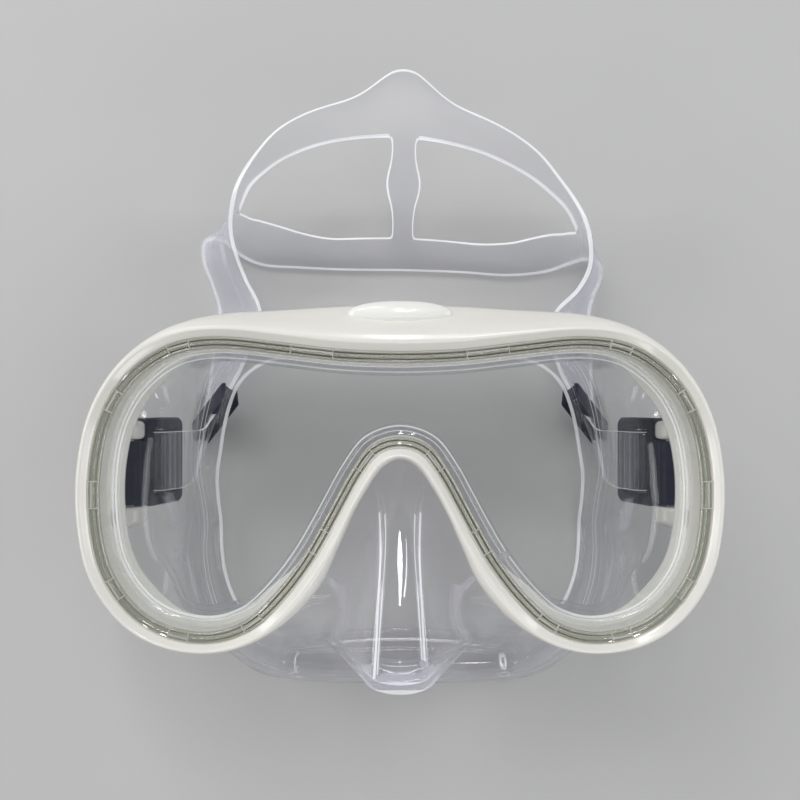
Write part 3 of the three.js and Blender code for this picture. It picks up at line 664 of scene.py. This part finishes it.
def skirt_grid():
    """The skirt's middle surface: rows are stations, columns run from the lens lip to the seal's edge."""
    rows = []
    for path, fold in zip(skirt_paths(), SEAL_FOLD):
        dense = smooth_path(path, 500)
        arc = np.concatenate([[0], np.cumsum(np.linalg.norm(np.diff(dense, axis=0), axis=1))])
        late = arc > arc[-1] * 0.5
        to_fold = np.linalg.norm(dense[:, :2] - fold, axis=1)
        to_fold += np.abs(dense[:, 2] - dense[-1, 2] - 1.5) * 0.5
        at_fold = arc[late][np.argmin(to_fold[late])]
        wall = np.linspace(7.0, at_fold - 7.0, WALL_COLUMNS)
        flap = np.linspace(at_fold + 3.2, arc[-1] - 3.4, FLAP_COLUMNS)
        at = np.concatenate([NEAR_LIP, wall, at_fold + NEAR_FOLD, flap, arc[-1] - NEAR_EDGE])
        rows.append(np.column_stack([np.interp(at, arc, dense[:, k]) for k in range(3)]))
    rows = np.array(rows)
    return np.stack([ring_points(rows[:, j]) for j in range(rows.shape[1])], axis=1)


def add_ripples(grid, highlight_slots):
    """Shallow moulded ripples on the side walls, below the buckles, with painted highlights on their crests.
    """
    x, y, z = grid[:, :, 0], grid[:, :, 1], grid[:, :, 2]
    for at_y, at_z, height, reach in ((-31, 41, 1.3, 8), (-44, 39, 1.1, 5)):
        slanted = (z - at_z - 0.3 * (y - at_y)) / 2.8
        rise = height * np.exp(-(slanted**2) - ((y - at_y) / reach) ** 2) * (np.abs(x) > 50)
        # The crests take the milky silicone as a painted highlight.
        highlight_slots[(rise > 0.7 * height)[:, :-1]] = MILKY_SHEEN
        grid[:, :, 0] -= np.sign(x) * 0.8 * rise
        grid[:, :, 2] += 0.6 * rise


def add_nose_lines(grid, thick, highlight_slots):
    """The nose pocket's front lines, raised beads with painted highlights on them, its fainter painted wing
    lines, and the thick lip at its tip with a painted highlight along it.
    """
    y, z = grid[:, :, 1], grid[:, :, 2]
    crease = int(round((NOSE_FIRST + 5) * STATIONS_PER_ROW))
    wing = int(round((NOSE_FIRST + 1.7) * STATIONS_PER_ROW))
    middle = RIM_STATIONS // 2
    front = (z > 44) & (y < -22) & (y > -73.5)
    for side in (1, -1):
        for near in range(-3, 4):
            station = (side * (crease + near)) % RIM_STATIONS
            rise = 0.5 * math.cos(near * math.pi / 8) ** 2 * smoothstep(-20, -30, y[station])
            thick[station] += np.where(front[station], rise, 0)
        for near, start in ((-1, -31), (0, -23), (1, -27)):
            station = (side * (crease + near) - (side < 0)) % RIM_STATIONS
            highlight_slots[station, front[station, :-1] & (y[station, :-1] < start)] = MILKY_SHEEN
        station = (side * crease - (side < 0)) % RIM_STATIONS
        highlight_slots[station, front[station, :-1] & (y[station, :-1] < -28) & (y[station, :-1] > -68)] = PAINTED_HIGHLIGHT
        for near, start in ((0, -42), (1, -50)):
            station = (side * (wing + near) - (side < 0)) % RIM_STATIONS
            highlight_slots[station, (z[station, :-1] > 40) & (y[station, :-1] < start)] = MILKY_SHEEN
    highlight_slots[(z[:, :-1] > 44) & (y[:, :-1] < -66.5)] = MILKY_SHEEN
    lip_columns = np.flatnonzero((y[middle, :-1] < -72.9) & (z[middle, :-1] > 52))
    reach = int(round(3.4 * STATIONS_PER_ROW))
    for station in range(middle - reach, middle + reach + 1):
        thick[station, lip_columns] += 0.9 * math.cos((station - middle) / reach * math.pi / 2) ** 0.7
    highlight_slots[middle - reach + 2:middle + reach - 1, lip_columns[0]:lip_columns[-1]] = PAINTED_HIGHLIGHT


def make_skirt():
    """The silicone skirt: lens lip, waisted wall, nose pocket, and the folded seal with beaded edges."""
    grid = skirt_grid()
    columns = grid.shape[1]
    bead = np.ones(columns)
    bead[FOLD_COLUMN - 2:FOLD_COLUMN + 2] = 1.5
    bead[FOLD_COLUMN - 7:FOLD_COLUMN - 5] = 1.35
    bead[EDGE_COLUMN:] = 0.9 * np.sqrt(np.clip(1 - (1 - np.minimum(NEAR_EDGE / 0.8, 1)) ** 2, 0.1, 1))
    bead[:2] = (0.6, 0.9)
    thick = SKIRT_THICK * 0.85 * np.tile(bead, (len(grid), 1))
    # Painted highlights, in the glowing and the milky silicone, on free edges and moulded lines: the seal's
    # edge, two lines on its fold, the lens lip.
    seal_low_y = -64
    upper = grid[:, -1, 1] > seal_low_y
    highlight_slots = np.full((len(grid), columns - 1), PLAIN)
    highlight_slots[upper, EDGE_COLUMN + 5:] = PAINTED_HIGHLIGHT
    for column in (FOLD_COLUMN - 7, FOLD_COLUMN - 1):
        highlight_slots[upper, column] = PAINTED_HIGHLIGHT
    highlight_slots[~upper, FOLD_COLUMN - 1] = MILKY_SHEEN
    highlight_slots[:, 6] = PAINTED_HIGHLIGHT
    add_ripples(grid, highlight_slots)
    add_nose_lines(grid, thick, highlight_slots)
    materials = (SILICONE, SILICONE_PAINTED_HIGHLIGHT, SILICONE_MILKY_SHEEN)
    skirt = sheet("silicone_skirt", grid, thick, materials, highlight_slots, closed=True, floor=0.0)
    # The seal's lower edge lies out of the light, under the nose pocket.
    for face in skirt.data.polygons:
        low = face.center.z < 12 * MM and face.center.y < (PLAN_SHIFT + seal_low_y) * MM
        if face.material_index == PAINTED_HIGHLIGHT and low:
            face.material_index = PLAIN
    ride(skirt, "mask", "silicone", "skirt")


STRAP_ROWS = STRAP_WEARER_RIGHT + [STRAP_MIDDLE] + STRAP_WEARER_LEFT[::-1]
STRAP_SPANS = len(STRAP_ROWS) - 1
STRAP_CENTRE = len(STRAP_WEARER_RIGHT)
DENSE = 4001
strap_low = smooth_path([r[0] for r in STRAP_ROWS], DENSE)
strap_high = smooth_path([r[1] for r in STRAP_ROWS], DENSE)


def strap_point(s, w):
    """A point of the strap's surface: s counts guide rows from the wearer's right, w runs over the width."""
    at = np.asarray(s) / STRAP_SPANS * (DENSE - 1)
    index = np.arange(DENSE)
    low = np.stack([np.interp(at, index, strap_low[:, k]) for k in range(3)], axis=-1)
    high = np.stack([np.interp(at, index, strap_high[:, k]) for k in range(3)], axis=-1)
    return low + (high - low) * np.asarray(w)[..., None]


def make_strap():
    """Strap arms and split pad, with a peaked upper band, a waved bridge and thickened edges."""
    per_span = 16
    window_end, window_top = 4.0, 0.795
    peak_height, peak_width = 0.155, 0.46
    seam = 1.4          # the arms end inside the keepers, where the ribbed strap ends take over
    lower_steps = np.array([0.2, 0.4, 0.6, 0.8, 0.94, 1])
    window_steps = np.array([0.03, 0.1, 0.2, 0.33, 0.46, 0.6, 0.74, 0.88, 0.97, 1])
    upper_steps = np.array([0.016, 0.14, 0.3, 0.45, 0.65, 0.85, 1])
    lower_cells, window_cells = len(lower_steps), len(window_steps)
    bridge = 4
    bridge_end, even_from = bridge / per_span, 0.95
    half = int(round((STRAP_CENTRE - seam) * per_span))

    def from_middle(away, half_width):
        """Spans from the pad's middle: the bridge's columns gather towards its two edges."""
        if away <= bridge_end:
            return half_width * (away / bridge_end) ** 0.4
        if away < even_from:
            return mix(half_width, even_from, (away - bridge_end) / (even_from - bridge_end))
        return away

    columns = np.arange(-half, half + 1)
    grid = []
    for column in columns:
        away = abs(column) / per_span
        opening = smoothstep(window_end + 0.1, window_end - 0.75, away) ** 0.5
        bottom = mix(0.5, 0.21, smoothstep(window_end, 1, away))
        split = mix(bottom, 0.8, 0.45)
        low_edge, high_edge = mix(split, bottom, opening), mix(split, window_top, opening)
        peak = 1 + peak_height * math.exp(-((from_middle(away, 0.19) / peak_width) ** 2))
        window = low_edge + (high_edge - low_edge) * window_steps
        upper_band = high_edge + (peak - high_edge) * upper_steps
        w = np.concatenate([[0], low_edge * lower_steps, window, upper_band])
        # The bridge swells in its middle, and the windows' edges follow it.
        inside = np.clip((w - low_edge) / max(high_edge - low_edge, 1e-3), 0, 1)
        half_width = 0.165 + 0.115 * np.exp(-(((inside - 0.55) / 0.16) ** 2))
        half_width += 0.03 * (np.exp(-inside / 0.02) + np.exp(-(1 - inside) / 0.02)) * (0 < opening)
        s = STRAP_CENTRE + 0.04 * math.exp(-away) + np.sign(column) * from_middle(away, half_width)
        grid.append(strap_point(s, w))
    grid = np.array(grid)
    middles = np.abs(columns[:-1] + 0.5)
    open_columns = (middles > bridge) & (middles < window_end * per_span)
    keep = np.ones((len(grid) - 1, grid.shape[1] - 1), bool)
    keep[open_columns, lower_cells:lower_cells + window_cells] = False
    # The arms stand on edge and take the milkier silicone: painted sheen for how bright they look edge-on.
    highlight_slots = np.full(keep.shape, PLAIN)
    highlight_slots[middles > 5.2 * per_span] = MILKY_SHEEN
    # The upper edges of the windows and the bridge's sides are painted highlights, as bright lines.
    highlight_slots[open_columns, lower_cells + window_cells] = PAINTED_HIGHLIGHT
    highlight_slots[middles == bridge - 0.5, lower_cells:lower_cells + window_cells] = PAINTED_HIGHLIGHT
    cells = np.arange(grid.shape[1])
    bead = np.exp(-((np.minimum(cells, cells[-1] - cells) / 0.8) ** 2))
    thick = STRAP_THICK * (0.92 + 0.22 * bead)[None, :] * np.ones((len(grid), 1))
    materials = (STRAP_SILICONE, SILICONE_PAINTED_HIGHLIGHT, SILICONE_MILKY_SHEEN)
    strap = sheet(
        "strap_pad", grid, thick, materials, highlight_slots, keep=keep, floor=0.0, ends=(PLAIN, PLAIN))
    ride(strap, "mask", "silicone", "strap")


def on_hinge(side, x, y, z):
    """A point of the buckle's own frame, as design millimetres.

    That frame has the hinge at its zero, -Z down the buckle and +X outwards."""
    turned_x = x * math.cos(BUCKLE_TILT) + z * math.sin(BUCKLE_TILT)
    turned_z = z * math.cos(BUCKLE_TILT) - x * math.sin(BUCKLE_TILT)
    return (side * (HINGE_X + turned_x), HINGE_Y + PLATE_LIFT + y, HINGE_Z + turned_z)


def make_strap_ends():
    """Each strap end: out of the keeper, up round the roller and back down to a free tail, ribbed across."""
    radius = ROLLER_R + 0.4 + STRAP_THICK / 2
    profile = [(radius, z) for z in (-31.0, -27.0, -22.0, -17.5)]
    for a in np.linspace(0, math.pi, 9):
        profile.append((radius * math.cos(a), -ROLLER_DROP + radius * math.sin(a)))
    profile += [(-radius, -18.0), (-radius, -22.5)]
    cells = 10
    rib_pitch, rib_start = 2.6, 27
    for label, side in SIDES:
        s_ends = np.array([0.12, 0.45, 0.8, 1.1, 1.35, 1.45])
        s = 2 * STRAP_CENTRE - s_ends if side > 0 else s_ends
        low = [on_hinge(side, x, -STRAP_WIDTH / 2, z) for x, z in profile]
        high = [on_hinge(side, x, STRAP_WIDTH / 2, z) for x, z in profile]
        dense_low = smooth_path(low + strap_point(s, np.zeros(6)).tolist(), 1200)
        dense_high = smooth_path(high + strap_point(s, np.ones(6)).tolist(), 1200)
        step = np.linalg.norm(np.diff((dense_low + dense_high) / 2, axis=0), axis=1)
        arc = np.concatenate([[0], np.cumsum(step)])
        at = np.concatenate([[0, 0.35, 0.9, 1.6, 2.5], np.arange(3.1, arc[-1], 0.65), [arc[-1]]])
        low_edge = np.column_stack([np.interp(at, arc, dense_low[:, k]) for k in range(3)])
        high_edge = np.column_stack([np.interp(at, arc, dense_high[:, k]) for k in range(3)])
        # The free tail has one rounded corner.
        corner = np.sqrt(np.clip(1 - (1 - np.minimum(at / 4.5, 1)) ** 2, 0, 1))
        start = 0.26 * (1 - corner)
        stop = 1 - 0.07 * (1 - np.minimum(at / 1.5, 1)) ** 2
        w = start[:, None] + (stop - start)[:, None] * np.linspace(0, 1, cells + 1)[None, :]
        grid = low_edge[:, None, :] + (high_edge - low_edge)[:, None, :] * w[:, :, None]
        ribs = np.clip(np.cos(2 * math.pi * at / rib_pitch), 0, 1) ** 2 * smoothstep(3.5, 6, at)
        ribs *= smoothstep(arc[-1] - 4, arc[-1] - 8, at)
        inset = np.minimum(np.arange(cells + 1), np.arange(cells, -1, -1)) > 0
        thick = STRAP_THICK * (0.9 + 0.28 * ribs[:, None] * inset[None, :])
        # The ribs on the side that leaves the roller for the keeper take the milky silicone: painted
        # highlights that make them show.
        highlight_slots = np.full((len(at) - 1, cells), PLAIN)
        highlight_slots[((ribs > 0.6) & (at > rib_start))[:-1]] = MILKY_SHEEN
        materials = (TAIL_SILICONE, SILICONE_PAINTED_HIGHLIGHT, SILICONE_MILKY_SHEEN)
        end = sheet(f"strap_tail_{label}", grid, thick, materials, highlight_slots, ends=(PAINTED_HIGHLIGHT, PLAIN))
        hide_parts(f"strap_end_{label}")
        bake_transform(end)


make_frame()
make_lugs()
make_lens()
make_ring()
make_ring_marks()
make_badge()
make_skirt()
make_strap()
make_strap_ends()

for label, side in SIDES:
    for node, material in (
        (f"hinge_pin_{label}", STEEL), (f"roller_pin_{label}", STEEL), (f"buckle_{label}", NAVY),
        (f"roller_{label}", NAVY_SOFT), (f"release_lever_{label}", NAVY_SOFT), (f"keeper_{label}", NAVY),
    ):
        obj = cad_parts[node]
        obj.data.materials.clear()
        obj.data.materials.append(material)
        bevelled(obj, 0.3)

# ---- stage, camera and light ----
CAMERA_HEIGHT = 260.0
VIEW_WIDTH = 206.7
SENSOR = 36.0
FLOOR_HALF = 12.0
corners = [(x * FLOOR_HALF, y * FLOOR_HALF, 0) for x, y in ((-1, -1), (1, -1), (1, 1), (-1, 1))]
floor_mesh = bpy.data.meshes.new("floor")
floor_mesh.from_pydata(corners, [], [(0, 1, 2, 3)])
floor = bpy.data.objects.new("floor", floor_mesh)
bpy.context.scene.collection.objects.link(floor)
paper = Nodes("pale_floor")
mottle = paper.ramp(paper.noise(8), 0, 1)
tone = paper.blend(mottle, (0.50, 0.498, 0.494), (0.52, 0.518, 0.514))
paper.link(tone, paper.shader.inputs["Base Color"])
paper.set(Roughness=0.9, Emission_Color=(0.86, 0.88, 0.9, 1))
# The floor glows softly beyond the lamps' reach, so that low views have a pale background.
distance = paper.add("ShaderNodeVectorMath", operation="LENGTH")
paper.link(paper.place, distance.inputs[0])
glow = paper.ramp(distance.outputs["Value"], 0, 0.3, 0.5, 1.8)
paper.link(glow, paper.shader.inputs["Emission Strength"])
floor_mesh.materials.append(paper.material)
floor.location.z = cad_low[2] - 0.0003

camera_data = bpy.data.cameras.new("camera")
camera_data.sensor_width = SENSOR
camera_data.lens = SENSOR / 2 / (VIEW_WIDTH / 2 / CAMERA_HEIGHT)
camera = bpy.data.objects.new("camera", camera_data)
camera.location = to_row([0, 0, FRONT_Z + CAMERA_HEIGHT])
bpy.context.scene.collection.objects.link(camera)
bpy.context.scene.camera = camera

world = bpy.data.worlds.new("studio")
world.use_nodes = True
world.node_tree.nodes["Background"].inputs["Color"].default_value = (0.86, 0.89, 0.95, 1)
world.node_tree.nodes["Background"].inputs["Strength"].default_value = 0.2
bpy.context.scene.world = world


def area_light(name, place, size, power, colour=(1, 1, 1), mirrored=True):
    """A rectangular lamp aimed at the row frame's origin. Unless mirrored, no surface reflects its shape."""
    data = bpy.data.lights.new(name, "AREA")
    data.shape = "RECTANGLE"
    data.size, data.size_y = size
    data.energy = power
    data.color = colour
    light = bpy.data.objects.new(name, data)
    light.location = place
    light.rotation_euler = (-Vector(place)).to_track_quat("-Z", "Y").to_euler()
    light.visible_glossy = mirrored
    bpy.context.scene.collection.objects.link(light)


# The key and fill light the scene. The others are there for the streaks they leave on silicone and plastic.
area_light("key", (-0.35, 0.8, 0.9), (0.8, 0.5), 4.6, mirrored=False)
area_light("fill", (0.5, -0.4, 1.0), (0.8, 0.8), 1.2, (0.97, 0.98, 1), mirrored=False)
area_light("tube_near", (0.0, 0.42, 0.9), (0.035, 0.5), 1.2)
area_light("tube_far", (0.13, 0.42, 0.9), (0.03, 0.45), 0.6)
area_light("strip_back", (-0.35, 0.75, 0.45), (0.5, 0.06), 1.0)
area_light("window_left", (-0.8, 0.1, 0.42), (0.9, 0.2), 2.6, (1, 0.99, 0.97))
area_light("window_right", (0.8, 0.05, 0.42), (0.9, 0.18), 2.1, (0.98, 0.99, 1))
area_light("strip_front", (0.15, -0.8, 0.5), (0.9, 0.05), 1.0, (1, 0.98, 0.95))
area_light("tube_front", (0.0, -0.5, 0.86), (1.1, 0.03), 1.2)

scene = bpy.context.scene
scene.view_settings.view_transform = "Standard"
scene.cycles.use_denoising = True
scene.cycles.max_bounces = 12
scene.cycles.transparent_max_bounces = 24
